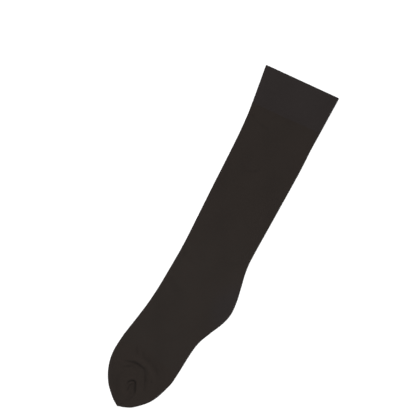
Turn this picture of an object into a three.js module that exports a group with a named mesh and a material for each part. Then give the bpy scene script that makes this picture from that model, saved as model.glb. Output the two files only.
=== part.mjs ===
// A knee-high compression stocking that lies flat, its two panels on each other.
// Units are millimetres. +Y runs along the leg to the mouth, +X to the calf and the heel, +Z up.
// The origin is on the surface that the stocking lies on, under the middle of its outline.

import * as THREE from "three";

// The knit: how thick one wall is in each piece, and the air between the two panels
const WELT_WALL = 1.5;
const LEG_WALL = 1.0;
const TOE_WALL = 1.2;
const PANEL_GAP = 0.6;
const SEAM_GAP = 0.3;

// How finely a piece is divided: the length of a step along it and the points across a panel
const LEG_STEP = 9;
const LEG_TOP_STEPS = 12;
const TOE_STEP = 1.8;
const TOE_TOP_STEPS = 40;
const UNDERSIDE_STEPS = 6;
const FOLD_STEPS = 4;

// The cut, a row for each section from the mouth to the toe's point, measured from the mouth's
// middle. The front fold is the shin and the instep, the back fold the calf, heel and sole.
// The crown is how far the upper panel rises between its two folded edges.
const SECTIONS = [
  { name: "mouth", frontX: -49.9, frontY: -1.8, backX: 50.5, backY: 1.3, crown: 0.3 },
  { name: "welt foot", frontX: -44.3, frontY: -51.6, backX: 48.7, backY: -48.5, crown: 0.5 },
  { name: "calf top", frontX: -42.4, frontY: -76, backX: 47.8, backY: -74, crown: 0.8 },
  { name: "calf", frontX: -41.7, frontY: -107, backX: 47.5, backY: -105, crown: 0.9 },
  { name: "shin", frontX: -42, frontY: -165, backX: 45, backY: -164.5, crown: 0.9 },
  { name: "ankle", frontX: -42, frontY: -220, backX: 42.4, backY: -223, crown: 0.9 },
  { name: "ankle low", frontX: -42.1, frontY: -243, backX: 43, backY: -244, crown: 1 },
  { name: "heel top", frontX: -42.7, frontY: -259, backX: 46.4, backY: -264, crown: 1.3 },
  { name: "heel middle", frontX: -43.6, frontY: -274, backX: 49.4, backY: -282, crown: 1.5 },
  { name: "heel point", frontX: -44.6, frontY: -288, backX: 50.1, backY: -300, crown: 1.5 },
  { name: "heel under", frontX: -45.5, frontY: -301, backX: 45.8, backY: -316, crown: 1.4 },
  { name: "arch", frontX: -46.8, frontY: -315.5, backX: 37.1, backY: -333.8, crown: 1.3 },
  { name: "instep", frontX: -48.7, frontY: -330, backX: 29.9, backY: -350.5, crown: 1.3 },
  { name: "foot", frontX: -51.4, frontY: -346, backX: 26.6, backY: -368.5, crown: 1.4 },
  { name: "ball", frontX: -57.3, frontY: -374.5, backX: 23.5, backY: -400, crown: 1.7 },
  { name: "toe line", frontX: -59.4, frontY: -386, backX: 20.5, backY: -416, crown: 2 },
  { name: "toe full", frontX: -61.2, frontY: -407.5, backX: 10.2, backY: -440.5, crown: 2.3 },
  { name: "toe round", frontX: -58, frontY: -426.5, backX: -6, backY: -457.4, crown: 2.1 },
  { name: "toe low", frontX: -49.3, frontY: -444.6, backX: -17.2, backY: -463.3, crown: 1.6 },
  { name: "toe end", frontX: -36.2, frontY: -458.8, backX: -24, backY: -465.2, crown: 0.9 },
  { name: "ear", frontX: -28.6, frontY: -464.4, backX: -25.3, backY: -466.2, crown: 0.2 },
];

// The folds of the toe, gathered round the end of the closing seam, in the plan of the sections.
// Each is a smooth route with its height at a few points, where a height below 0 is a trough.
// Its two flanks have widths of their own, left and right as seen along the route. The closing
// seam comes up from the toe's point as a low edge and ends inside a hook-shaped trough.
const TOE_FOLDS = [
  {
    name: "main trough",
    leftWidth: 1.7,
    rightWidth: 2.4,
    route: [
      { x: -47, y: -411, height: 0 },
      { x: -41, y: -409.3, height: -0.45 },
      { x: -35, y: -407.5, height: -0.75 },
      { x: -29, y: -406.4, height: -1 },
      { x: -23, y: -407, height: -0.9 },
      { x: -18, y: -408, height: -0.65 },
      { x: -13, y: -410.5, height: 0 },
    ],
  },
  {
    name: "trough to the sole",
    leftWidth: 2.8,
    rightWidth: 1.8,
    route: [
      { x: -19, y: -407.5, height: 0 },
      { x: -15, y: -410.5, height: -0.45 },
      { x: -12, y: -416, height: -0.6 },
      { x: -9.5, y: -421, height: -0.65 },
      { x: -8, y: -425, height: -0.5 },
      { x: -6.3, y: -429.5, height: -0.25 },
      { x: -4.5, y: -436, height: 0 },
    ],
  },
  {
    name: "ridge above",
    leftWidth: 3.4,
    rightWidth: 2.4,
    route: [
      { x: -43, y: -404, height: 0 },
      { x: -36, y: -401, height: 0.3 },
      { x: -27, y: -402.6, height: 0.5 },
      { x: -19, y: -403, height: 0.5 },
      { x: -12, y: -405.5, height: 0.4 },
      { x: -5.5, y: -410.5, height: 0.4 },
      { x: -1, y: -423, height: 0 },
    ],
  },
  {
    name: "outer trough",
    leftWidth: 2.4,
    rightWidth: 2,
    route: [
      { x: -30, y: -387, height: 0 },
      { x: -26.5, y: -392, height: -0.35 },
      { x: -22.5, y: -396, height: -0.4 },
      { x: -17, y: -397.4, height: -0.45 },
      { x: -9, y: -400, height: -0.4 },
      { x: -4, y: -402.5, height: -0.45 },
      { x: 0.3, y: -406, height: -0.4 },
      { x: 3.5, y: -410, height: 0 },
    ],
  },
  {
    name: "inner pucker",
    leftWidth: 1.7,
    rightWidth: 1.7,
    route: [
      { x: -45, y: -418.5, height: 0 },
      { x: -36, y: -414.4, height: -0.5 },
      { x: -26, y: -410.5, height: 0 },
    ],
  },
  {
    name: "front hollow",
    leftWidth: 2.8,
    rightWidth: 2.8,
    route: [
      { x: -35, y: -419, height: 0 },
      { x: -39.5, y: -426, height: -0.2 },
      { x: -41, y: -433, height: -0.2 },
      { x: -38, y: -440, height: -0.25 },
      { x: -34, y: -445, height: 0 },
    ],
  },
  {
    name: "seam hook",
    leftWidth: 1.6,
    rightWidth: 1.9,
    route: [
      { x: -27.5, y: -437, height: 0 },
      { x: -27.2, y: -432.5, height: -0.8 },
      { x: -25, y: -429, height: -1 },
      { x: -21.5, y: -427.8, height: -1.1 },
      { x: -18, y: -430.5, height: -1 },
      { x: -15.6, y: -435, height: -1.1 },
      { x: -14.2, y: -439, height: -1 },
      { x: -14, y: -444, height: -0.5 },
      { x: -14.6, y: -450, height: 0 },
    ],
  },
  {
    name: "seam edge",
    leftWidth: 2,
    rightWidth: 2,
    route: [
      { x: -21.8, y: -431.5, height: 0 },
      { x: -21, y: -435, height: 0.5 },
      { x: -19.8, y: -440, height: 0.5 },
      { x: -18.8, y: -446, height: 0.4 },
      { x: -19.2, y: -452, height: 0.35 },
      { x: -21.4, y: -458, height: 0.3 },
      { x: -25.6, y: -465.5, height: 0 },
    ],
  },
];

// The steps between two points of a route, and how near the folded edges the folds fade out
const FOLD_SAMPLES = 6;
const EDGE_FADE = 6;

// The hollow of the toe ends at this section, and past it the two panels are sewn together
const HOLLOW_END = "toe end";

// The pieces in their order down the leg
const PIECES = [
  {
    name: "welt",
    from: "mouth",
    to: "welt foot",
    wall: WELT_WALL,
    step: LEG_STEP,
    topSteps: LEG_TOP_STEPS,
    color: 0x2f2b2a,
  },
  {
    name: "leg_and_foot",
    from: "welt foot",
    to: "ball",
    wall: LEG_WALL,
    step: LEG_STEP,
    topSteps: LEG_TOP_STEPS,
    color: 0x2e2926,
  },
  {
    name: "toe",
    from: "ball",
    to: "ear",
    wall: TOE_WALL,
    step: TOE_STEP,
    topSteps: TOE_TOP_STEPS,
    color: 0x2d2825,
  },
];
const KNIT_ROUGHNESS = 0.95;

const LAST_ROW = SECTIONS.length - 1;
const rowNamed = (name) => SECTIONS.findIndex((row) => row.name === name);

// The two folded edges as smooth curves through the rows. The front one's z is the crown.
const frontFold = new THREE.CatmullRomCurve3(
  SECTIONS.map((row) => new THREE.Vector3(row.frontX, row.frontY, row.crown)),
  false,
  "catmullrom",
);
const backFold = new THREE.CatmullRomCurve3(
  SECTIONS.map((row) => new THREE.Vector3(row.backX, row.backY, 0)),
  false,
  "catmullrom",
);

// The folds' routes as lines through many points, whose z is the fold's height there
const foldLines = TOE_FOLDS.map((fold) => {
  const route = fold.route.map((point) => new THREE.Vector3(point.x, point.y, point.height));
  const curve = new THREE.CatmullRomCurve3(route, false, "catmullrom");
  return { ...fold, points: curve.getPoints(FOLD_SAMPLES * (route.length - 1)) };
});

// The section at a place that is counted in rows: its front edge, its direction and its width
function sectionAt(place) {
  const front = frontFold.getPoint(place / LAST_ROW);
  const back = backFold.getPoint(place / LAST_ROW);
  const across = new THREE.Vector2(back.x - front.x, back.y - front.y);
  const width = across.length();
  return { front, across: across.normalize(), width, crown: front.z };
}

// The point of the plan at a distance from a section's front edge
function planAt(section, run) {
  return new THREE.Vector2(section.front.x, section.front.y).addScaledVector(section.across, run);
}

// The height of one fold at a point of the plan: a bell over the distance to its route, times
// the route's height at the nearest place
function foldHeight(fold, x, y) {
  let nearest = { gap: Infinity, height: 0, left: true };
  for (let i = 1; i < fold.points.length; i++) {
    const start = fold.points[i - 1];
    const run = fold.points[i].clone().sub(start);
    const toX = x - start.x;
    const toY = y - start.y;
    const along = (toX * run.x + toY * run.y) / (run.x ** 2 + run.y ** 2);
    const share = THREE.MathUtils.clamp(along, 0, 1);
    const gap = Math.hypot(toX - run.x * share, toY - run.y * share);
    if (gap < nearest.gap) {
      nearest = { gap, height: start.z + run.z * share, left: run.x * toY > run.y * toX };
    }
  }
  const width = nearest.left ? fold.leftWidth : fold.rightWidth;
  return nearest.height * Math.exp(-((nearest.gap / width) ** 2));
}

// How far all the folds together lift the upper panel at a point of the plan
function reliefAt(x, y) {
  return foldLines.reduce((sum, fold) => sum + foldHeight(fold, x, y), 0);
}

// A closed loop round the section, counter-clockwise as seen from the mouth: along the
// underside, up round the back fold, back along the top and down round the front fold.
// The inner loop is the same one, moved in by the wall.
function loopAt(place, piece, inset) {
  const section = sectionAt(place);
  const radius = piece.wall + PANEL_GAP / 2;
  const turn = radius - inset;
  const flat = section.width - 2 * radius;
  const points = [];
  const add = (run, z) => {
    const { x, y } = planAt(section, run);
    points.push(new THREE.Vector3(x, y, z));
  };
  const topAt = (share) => {
    const { x, y } = planAt(section, radius + flat * share);
    const edge = Math.min(share, 1 - share) * flat;
    const crown = section.crown * (1 - Math.abs(2 * share - 1) ** 4);
    return radius + turn + crown + reliefAt(x, y) * THREE.MathUtils.smoothstep(edge, 0, EDGE_FADE);
  };
  for (let i = 0; i < UNDERSIDE_STEPS; i++) {
    add(radius + (flat * i) / UNDERSIDE_STEPS, radius - turn);
  }
  for (let i = 0; i < FOLD_STEPS; i++) {
    const angle = Math.PI * (i / FOLD_STEPS - 0.5);
    add(radius + flat + turn * Math.cos(angle), radius + turn * Math.sin(angle));
  }
  for (let i = 0; i < piece.topSteps; i++) {
    const share = 1 - i / piece.topSteps;
    add(radius + flat * share, topAt(share));
  }
  for (let i = 0; i < FOLD_STEPS; i++) {
    const angle = Math.PI * (0.5 + i / FOLD_STEPS);
    add(radius + turn * Math.cos(angle), radius + turn * Math.sin(angle));
  }
  return points;
}

// The places of a piece's sections, counted in rows, about one step apart along the leg.
// Half the seam gap is left at each end that meets another piece.
function placesOf(piece) {
  const from = rowNamed(piece.from);
  const to = rowNamed(piece.to);
  const lengthOf = (row) => {
    const front = frontFold.points[row].distanceTo(frontFold.points[row + 1]);
    const back = backFold.points[row].distanceTo(backFold.points[row + 1]);
    return (front + back) / 2;
  };
  const places = [];
  for (let row = from; row < to; row++) {
    const count = Math.max(1, Math.round(lengthOf(row) / piece.step));
    for (let i = 0; i < count; i++) {
      places.push(row + i / count);
    }
  }
  places.push(to);
  if (from > 0) {
    places[0] += SEAM_GAP / 2 / lengthOf(from);
  }
  if (to < LAST_ROW) {
    places[places.length - 1] -= SEAM_GAP / 2 / lengthOf(to - 1);
  }
  return places;
}

// A list of points and triangles that grows by loops, walls, rims and caps
class Skin {
  constructor() {
    this.points = [];
    this.faces = [];
  }

  // Adds one loop and returns the numbers of its points
  loop(points) {
    const first = this.points.length;
    this.points.push(...points);
    return points.map((_, i) => first + i);
  }

  // Joins two loops by a band. It faces out when the second loop is further down the leg.
  band(upper, lower) {
    for (let i = 0; i < upper.length; i++) {
      const next = (i + 1) % upper.length;
      this.faces.push(upper[i], upper[next], lower[i]);
      this.faces.push(upper[next], lower[next], lower[i]);
    }
  }

  // Closes a loop by a fan round its middle. It faces down the leg.
  cap(loop) {
    const middle = new THREE.Vector3();
    loop.forEach((i) => middle.addScaledVector(this.points[i], 1 / loop.length));
    const [centre] = this.loop([middle]);
    for (let i = 0; i < loop.length; i++) {
      this.faces.push(centre, loop[i], loop[(i + 1) % loop.length]);
    }
  }

  geometry() {
    const made = new THREE.BufferGeometry().setFromPoints(this.points);
    made.setIndex(this.faces);
    made.computeVertexNormals();
    return made;
  }
}

// One piece of the tube: an outer and an inner wall with a rim at each open end. The toe's
// outer wall is capped at the point, and its inner one where the hollow ends.
function pieceGeometry(piece) {
  const skin = new Skin();
  const places = placesOf(piece);
  const closed = rowNamed(piece.to) === LAST_ROW;
  const hollow = closed ? places.filter((place) => place <= rowNamed(HOLLOW_END)) : places;
  const outer = places.map((place) => skin.loop(loopAt(place, piece, 0)));
  const inner = hollow.map((place) => skin.loop(loopAt(place, piece, piece.wall)));
  for (let i = 1; i < outer.length; i++) {
    skin.band(outer[i - 1], outer[i]);
  }
  for (let i = 1; i < inner.length; i++) {
    skin.band(inner[i], inner[i - 1]);
  }
  skin.band(inner[0], outer[0]);
  if (closed) {
    skin.cap(outer.at(-1));
    skin.cap(inner.at(-1).toReversed());
  } else {
    skin.band(outer.at(-1), inner.at(-1));
  }
  return skin.geometry();
}

const stocking = new THREE.Group();
for (const piece of PIECES) {
  const knit = new THREE.MeshStandardMaterial({
    color: piece.color,
    roughness: KNIT_ROUGHNESS,
    metalness: 0,
  });
  const mesh = new THREE.Mesh(pieceGeometry(piece), knit);
  mesh.name = piece.name;
  stocking.add(mesh);
}

// The middle of the outline is brought over the origin
const middle = new THREE.Box3().setFromObject(stocking).getCenter(new THREE.Vector3());
stocking.position.set(-middle.x, -middle.y, 0);

const group = new THREE.Group();
group.add(stocking);

export default group;
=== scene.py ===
# %% [markdown]
# # A knee-high compression stocking, laid flat
#
# The stocking is one knitted tube with a double welt at the mouth, a turned heel and a gathered
# toe that one seam closes. It lies on a pale floor with its two panels on each other. This lesson
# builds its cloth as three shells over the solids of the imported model: the welt, the leg with the
# foot, and the toe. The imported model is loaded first, because it fixes every place and size.

# %% The frame
import math

import bpy
import numpy as np
from mathutils import Matrix, Vector


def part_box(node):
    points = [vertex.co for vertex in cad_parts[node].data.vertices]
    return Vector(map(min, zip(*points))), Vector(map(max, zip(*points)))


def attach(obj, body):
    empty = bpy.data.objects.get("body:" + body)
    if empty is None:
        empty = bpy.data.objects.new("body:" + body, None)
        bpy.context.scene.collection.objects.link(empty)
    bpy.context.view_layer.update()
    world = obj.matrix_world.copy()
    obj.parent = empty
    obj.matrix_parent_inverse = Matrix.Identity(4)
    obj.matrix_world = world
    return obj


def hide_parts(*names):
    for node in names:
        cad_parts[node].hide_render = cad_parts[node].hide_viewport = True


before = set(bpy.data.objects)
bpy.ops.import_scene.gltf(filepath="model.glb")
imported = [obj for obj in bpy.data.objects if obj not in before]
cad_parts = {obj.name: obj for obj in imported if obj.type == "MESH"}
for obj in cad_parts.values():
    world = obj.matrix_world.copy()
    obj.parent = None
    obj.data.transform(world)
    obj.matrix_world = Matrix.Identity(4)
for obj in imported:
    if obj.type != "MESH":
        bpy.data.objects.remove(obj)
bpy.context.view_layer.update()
MM = 0.001
print("nodes:", sorted(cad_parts))

# %% [markdown]
# ## The cut
#
# A flat stocking is described best by sections, straight lines from its front fold (the shin and
# the instep) to its back fold (the calf, the heel and the sole). A subdivided cage would need many
# control points to hold the heel's curve, while a table of sections gives the two folds as smooth
# curves. The table is in millimetres from the middle of the mouth. The crown is how far the upper
# panel rises between the folds, and the wall is the thickness of one panel. The welt is knitted
# double, so it has a thicker wall of its own.

# %% The table of sections
SECTIONS = [
    # name, front x, front y, back x, back y, crown, wall
    ("mouth", -49.9, -1.8, 50.5, 1.3, 0.3, 1),
    ("welt foot", -44.3, -51.6, 48.7, -48.5, 0.5, 1),
    ("calf top", -42.4, -76, 47.8, -74, 0.8, 1),
    ("calf", -41.7, -107, 47.5, -105, 0.9, 1),
    ("shin", -42, -165, 45, -164.5, 0.9, 1),
    ("ankle", -42, -220, 42.4, -223, 0.9, 1),
    ("ankle low", -42.1, -243, 43, -244, 1, 1),
    ("heel top", -42.7, -259, 46.4, -264, 1.3, 1),
    ("heel middle", -43.6, -274, 49.4, -282, 1.5, 1),
    ("heel point", -44.6, -288, 50.1, -300, 1.5, 1),
    ("heel under", -45.5, -301, 45.8, -316, 1.4, 1),
    ("arch", -46.8, -315.5, 37.1, -333.8, 1.3, 1),
    ("instep", -48.7, -330, 29.9, -350.5, 1.3, 1),
    ("foot", -51.4, -346, 26.6, -368.5, 1.4, 1),
    ("ball", -57.3, -374.5, 23.5, -400, 1.7, 1.1),
    ("toe line", -59.4, -386, 20.5, -416, 2, 1.2),
    ("toe full", -61.2, -407.5, 10.2, -440.5, 2.3, 1.2),
    ("toe round", -58, -426.5, -6, -457.4, 2.1, 1.2),
    ("toe low", -49.3, -444.6, -17.2, -463.3, 1.6, 1.2),
    ("toe end", -36.2, -458.8, -24, -465.2, 0.9, 1.2),
    ("ear", -28.6, -464.4, -25.3, -466.2, 0.2, 1.2),
]
WELT_WALL = 1.5
WELT_EDGE_WALL = 1.0
PANEL_GAP = 0.6
ROW = {row[0]: number for number, row in enumerate(SECTIONS)}
CUT = np.array([row[1:] for row in SECTIONS])
FRONT = slice(0, 2)
BACK = slice(2, 4)
CROWN = 4
WALL = 5
mouth_width = np.hypot(*(CUT[0, BACK] - CUT[0, FRONT]))
print(len(SECTIONS), "sections, the mouth is", round(mouth_width, 1), "mm wide")

# %% [markdown]
# Between its rows the table is read as a cubic curve, so a few sections give a smooth outline. The
# second helper is for all that fades in or out, and it has no corner at either end.

# %% Smooth values between the rows
def smooth_rows(table, place):
    """Values between the rows of a table, at places counted in rows. Each stretch is a cubic
    through its two rows, and its slope at a row is half the step between that row's neighbours.
    A row is added past each end, in a straight line."""
    rows = np.vstack([2 * table[0] - table[1], table, 2 * table[-1] - table[-2]])
    start = np.clip(np.floor(place).astype(int), 0, len(table) - 2)
    t = (place - start)[..., None]
    a, b, c, d = rows[start], rows[start + 1], rows[start + 2], rows[start + 3]
    bend = (2 * a - 5 * b + 4 * c - d) * t**2 + (3 * b - a - 3 * c + d) * t**3
    return (2 * b + (c - a) * t + bend) / 2


def smoothstep(value, low, high):
    """Rises from 0 at low to 1 at high along 3t2 - 2t3."""
    t = np.clip((value - low) / (high - low), 0, 1)
    return t * t * (3 - 2 * t)


under_heel = smooth_rows(CUT, ROW["heel point"] + 0.5)
print("the back fold just under the heel's point, in mm:", under_heel[BACK].round(1))

# %% [markdown]
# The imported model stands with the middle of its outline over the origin, and the table is measured
# from the mouth. The mouth's back corner is the highest x and the highest y of the welt's solid, so
# that corner gives the shift from one to the other.

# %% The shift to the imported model
FINE_COUNT = 4001

welt_high = np.array(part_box("welt")[1]) / MM
SHIFT = welt_high[:2] - CUT[0, BACK]
print("shift in mm:", SHIFT.round(2))

fine_places = np.linspace(0, len(SECTIONS) - 1, FINE_COUNT)
fine_rows = smooth_rows(CUT, fine_places)
front_steps = np.hypot(*np.diff(fine_rows[:, FRONT], axis=0).T)
back_steps = np.hypot(*np.diff(fine_rows[:, BACK], axis=0).T)
fine_lengths = np.concatenate([[0], np.cumsum((front_steps + back_steps) / 2)])
print("length along the folds in mm:", round(fine_lengths[-1], 1))


def length_at(place):
    """Millimetres of cloth from the mouth to a place, as the mean of the two folds."""
    return np.interp(place, fine_places, fine_lengths)


def places_every(step, start, end):
    """Places from start to end, counted in rows, that lie about step millimetres apart."""
    low, high = length_at(start), length_at(end)
    count = max(2, int(round((high - low) / step)) + 1)
    return np.interp(np.linspace(low, high, count), fine_lengths, fine_places)


# %% [markdown]
# ## Folds and creases
#
# The toe is gathered round the end of its closing seam, so its folds are uneven arcs round that
# point. A cloth simulation would give other folds on each change, and these are the stocking's most
# recognisable feature, so each is placed as a route with a height at every point of it. A
# height below 0 is a trough. The two flanks of a fold have widths of their own, left and right as
# seen along the route, because a real trough is sharp on one side and soft on the other.

# %% The folds of the toe
TOE_FOLDS = {
    # name: left width, right width, then the route's x, y and height
    "main trough": (1.2, 1.9, [
        (-47, -411, 0), (-41, -409.3, -0.3), (-35, -407.5, -0.55), (-29, -406.4, -0.8),
        (-23, -407, -0.7), (-18, -408, -0.5), (-13, -410.5, 0),
    ]),
    "trough to the sole": (3.2, 1.1, [
        (-19, -407.5, 0), (-15, -410.5, -0.3), (-12, -416, -0.4), (-9.6, -421, -0.5),
        (-8, -425, -0.35), (-6.3, -429.5, -0.28), (-4.8, -434.5, -0.14), (-3.8, -438.5, 0),
    ]),
    "ridge above": (3.4, 2.2, [
        (-43, -404, 0), (-36, -401, 0.2), (-27, -402.6, 0.35), (-19, -403, 0.35),
        (-12, -405.5, 0.3), (-5.5, -410.5, 0.3), (-2.5, -416, 0.18), (-1, -423, 0),
    ]),
    "outer trough": (2.4, 1.8, [
        (-30, -387, 0), (-26.5, -392, -0.22), (-22.5, -396, -0.22), (-17, -397.4, -0.26),
        (-12.5, -398.6, -0.12), (-9, -400, -0.2), (-4, -402.5, -0.2), (0.3, -406, -0.2),
        (3.5, -410, 0),
    ]),
    "outer pucker": (1.6, 1.6, [
        (-38.5, -386, 0), (-36, -390, -0.3), (-34, -394.5, -0.3), (-31, -399, 0),
    ]),
    "sole pucker": (1.3, 1.3, [(-9, -410.5, 0), (-4, -415, -0.1), (-1.5, -419, -0.42), (1, -423, 0)]),
    "inner pucker": (1.3, 1.4, [
        (-45, -418.5, 0), (-39.5, -417, -0.22), (-36, -414.4, -0.42), (-32, -412.2, -0.25),
        (-26, -410.5, 0),
    ]),
    "inner ridge": (1.4, 1.4, [
        (-42, -420, 0), (-36.5, -417.8, 0.3), (-31, -416, 0.18), (-26, -416.5, 0.35),
        (-22.5, -419.5, 0),
    ]),
    "front ridge": (1.6, 1.6, [(-51, -412, 0), (-46, -413.3, 0.2), (-41, -411.8, 0)]),
    "front hollow": (2.6, 2.6, [
        (-35, -419, 0), (-39.5, -426, -0.1), (-41, -433, -0.09), (-38, -440, -0.14), (-34, -445, 0),
    ]),
    "front swell": (2.4, 2.4, [
        (-32, -427, 0), (-34, -433, 0.12), (-31.5, -440, 0.14), (-27.5, -444.5, 0.22), (-24, -450, 0),
    ]),
    "hem of the seam's end": (1.2, 1.2, [
        (-31, -432, 0), (-29.3, -428.5, 0.45), (-26.5, -425.3, 0.6), (-22.5, -423.8, 0.5),
        (-18.5, -425.5, 0),
    ]),
}
print("toe folds:", ", ".join(TOE_FOLDS))

# %% [markdown]
# The closing seam comes round the toe from its point and ends in a small hook. The cloth dips
# sharply outside the hook and along the sole's side of the seam. Inside it the seam's own edge
# stands up.

# %% The folds at the closing seam
SEAM_FOLDS = {
    # name: left width, right width, then the route's x, y and height
    "hook": (1.1, 1.2, [
        (-27.5, -436, 0), (-27.2, -432.5, -0.52), (-25.6, -429.8, -0.78), (-22.6, -427.8, -1.02),
        (-20, -428, -0.95), (-18, -430.5, -0.5), (-16.5, -434, 0),
    ]),
    "sole side": (0.9, 2.4, [
        (-20.5, -427.5, 0), (-18, -430, -0.4), (-16, -434.5, -0.8), (-14.2, -438.5, -0.78),
        (-13.9, -443, -0.3), (-14.6, -448, -0.3), (-16.2, -452.5, -0.2), (-18.5, -457.5, 0),
    ]),
    "inner line": (0.8, 0.9, [
        (-24, -443, 0), (-23.6, -439.3, -0.7), (-24, -436, -0.35), (-23, -433.2, -0.7),
        (-20.7, -431.5, -0.35), (-18.5, -431, 0),
    ]),
    "inner lip": (0.8, 0.8, [
        (-25.8, -435, 0), (-24.6, -431.8, 0.45), (-22.2, -430.3, 0.5), (-19.6, -429.8, 0),
    ]),
    "seam edge": (1.9, 1.7, [
        (-21.5, -432, 0), (-20.8, -436, 0.15), (-19.8, -440, 0.22), (-18.8, -445, 0.2),
        (-19, -451, 0.2), (-21.2, -458.1, 0.28), (-24.5, -463.5, 0.2), (-25.6, -465.5, 0),
    ]),
}
print("folds at the seam:", ", ".join(SEAM_FOLDS))

# %% [markdown]
# The leg is smooth, as tight knit is, but a real stocking is never as flat as a board. A few soft
# creases lie where the cloth turns: in front of the ankle, over the tendon, along the heel's gore
# line and across the instep, and two small puckers lie on the calf.

# %% The creases of the leg and the foot
LEG_CREASES = {
    # name: left width, right width, then the route's x, y and height
    "ankle dash": (1.4, 1.4, [
        (-42, -231, 0), (-40, -238, 0.3), (-37.5, -243.5, 0.4), (-33, -247.3, 0.32), (-28, -250, 0),
    ]),
    "ankle hollow": (3.5, 3, [
        (-46, -253.7, 0), (-36, -257.7, -0.12), (-24, -261.7, -0.08), (-12, -263.7, 0),
    ]),
    "instep hollow": (4, 5, [
        (-48, -287.6, 0), (-36, -294.5, -0.12), (-22, -302.5, -0.1), (-8, -307.5, 0),
    ]),
    "tendon hollow": (4, 4, [
        (48, -227.8, 0), (36, -236.8, -0.12), (24, -243.8, -0.1), (12, -247.8, 0),
    ]),
    "gore dash": (1.2, 1.4, [
        (-8, -320.4, 0), (-2, -323.9, 0.4), (3, -326.2, 0.2), (8, -327.9, 0.42), (13, -328.9, 0),
    ]),
    "gore line": (1.6, 1.6, [(6, -328, 0), (18, -321.3, 0.06), (32, -311.2, 0.06), (44, -301.8, 0)]),
    "foot hollow": (4, 4, [
        (-54, -349.3, 0), (-42, -356.3, -0.06), (-28, -363.2, -0.05), (-14, -367.2, 0),
    ]),
    "sole swell": (5, 5, [(26, -349.3, 0), (12, -359.3, 0.08), (0, -371.2, 0.08), (-8, -383.1, 0)]),
    "calf dash": (1.1, 1.4, [
        (-45, -63.5, 0), (-38, -65.5, -0.28), (-29, -69, -0.1), (-18, -72.2, -0.24), (-9, -73, 0),
    ]),
    "calf pucker": (1.3, 1.6, [
        (-16, -133.5, 0), (-8, -130, -0.24), (-1, -125.5, -0.26), (3, -117, 0),
    ]),
    "shin hollow": (8, 8, [
        (-22, -60.6, 0), (-20, -90.5, -0.06), (-18, -130.3, -0.08), (-17, -165.1, 0),
    ]),
}
print("creases:", ", ".join(LEG_CREASES))

# %% [markdown]
# Three long, low waves go over the whole cloth, each a sine that runs in a direction of its own.
# The underside rests flat on the floor, so the folds leave only shallow troughs in it, and narrow
# grooves make room for its stitches.

# %% The waves and the grooves
UNDERSIDE_GROOVES = {
    # the same columns: the underside leaves room for its own stitches
    "seam": (2.6, 2.6, [
        (-21.5, -430, 0), (-20.8, -434, 0.4), (-19.8, -440, 0.4), (-18.8, -445, 0.4),
        (-19, -451, 0.4), (-21.2, -458.1, 0.4), (-24.5, -463.5, 0.4), (-25.6, -465.5, 0.4),
    ]),
    "gore": (2, 2, [
        (2, -330, 0), (8, -327, 0.4), (29, -313.5, 0.4), (41, -304.3, 0.4), (47, -299, 0),
    ]),
}
WAVES = [
    # mm across, mm along, start, height
    (74, 163, 0.2, 0.05),
    (-51, 97, 0.6, 0.035),
    (33, 61, 0.35, 0.02),
]
print(len(WAVES), "waves, and grooves for", " and ".join(UNDERSIDE_GROOVES))

# %% [markdown]
# A fold falls off to both sides of its route like a bell, so it has no edge, and folds that lie
# close together add up smoothly. A displacement by an image would do the same, but a formula is
# exact at every point and keeps no picture.

# %% From routes to heights
ROUTE_SAMPLES = 6  # for each stretch of a route
REACH = 3  # a bell is left out past this many of its widths


def route_heights(routes, x, y):
    """The sum of a table of folds. Each is a bell over the distance to its route,
    exp(-(gap/width)^2), times the height at the nearest point of the route. The width is that of
    the side where the point lies, which is the sign of the cross product of the route's step and
    the way to the point."""
    total = np.zeros_like(x)
    for left_width, right_width, route in routes.values():
        samples = ROUTE_SAMPLES * (len(route) - 1) + 1
        line = smooth_rows(np.array(route, float), np.linspace(0, len(route) - 1, samples))
        reach = REACH * max(left_width, right_width)
        low, high = line.min(0) - reach, line.max(0) + reach
        close = (x > low[0]) & (x < high[0]) & (y > low[1]) & (y < high[1])
        if not close.any():
            continue
        step = np.diff(line, axis=0)
        to_x = x[close][:, None] - line[:-1, 0]
        to_y = y[close][:, None] - line[:-1, 1]
        share = np.clip((to_x * step[:, 0] + to_y * step[:, 1]) / (step[:, :2] ** 2).sum(1), 0, 1)
        gap = np.hypot(to_x - share * step[:, 0], to_y - share * step[:, 1])
        left = step[:, 0] * to_y - step[:, 1] * to_x > 0
        height = line[:-1, 2] + share * step[:, 2]
        nearest = np.arange(len(gap)), gap.argmin(1)
        width = np.where(left[nearest], left_width, right_width)
        total[close] += height[nearest] * np.exp(-((gap[nearest] / width) ** 2))
    return total


def fold_heights(x, y):
    """All folds, creases and waves together."""
    x, y = np.broadcast_arrays(x, y)
    total = route_heights(TOE_FOLDS | SEAM_FOLDS | LEG_CREASES, x, y)
    for across_mm, along_mm, start, height in WAVES:
        total += height * np.sin(2 * np.pi * (x / across_mm + y / along_mm + start))
    return total


hook_x, hook_y, _ = np.array(SEAM_FOLDS["hook"][2][3], float)
print("height in the middle of the hook, in mm:", fold_heights(hook_x, hook_y).round(2))

# %% [markdown]
# ## The shells
#
# Every shell is a surface of two parameters. One goes down the leg and the other round the flat
# tube: along the underside, up round the back fold, back along the top and down round the front
# fold. A point is the centre of a rounded fold, plus a share of the flat stretch between the two
# folds, plus a turn of half the thickness. The same formula with a smaller turn gives the inner
# wall, so the outer wall, the rounded rim and the inner wall are one list of stations. A Solidify
# modifier would add a wall too, but it could not keep this rim or the shut hollow.

# %% The loop round the tube
TOP_STEPS = 112
UNDER_STEPS = 48
FOLD_STEPS = 8
FOLD_LENGTH = 0.045  # of a panel's width


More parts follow.
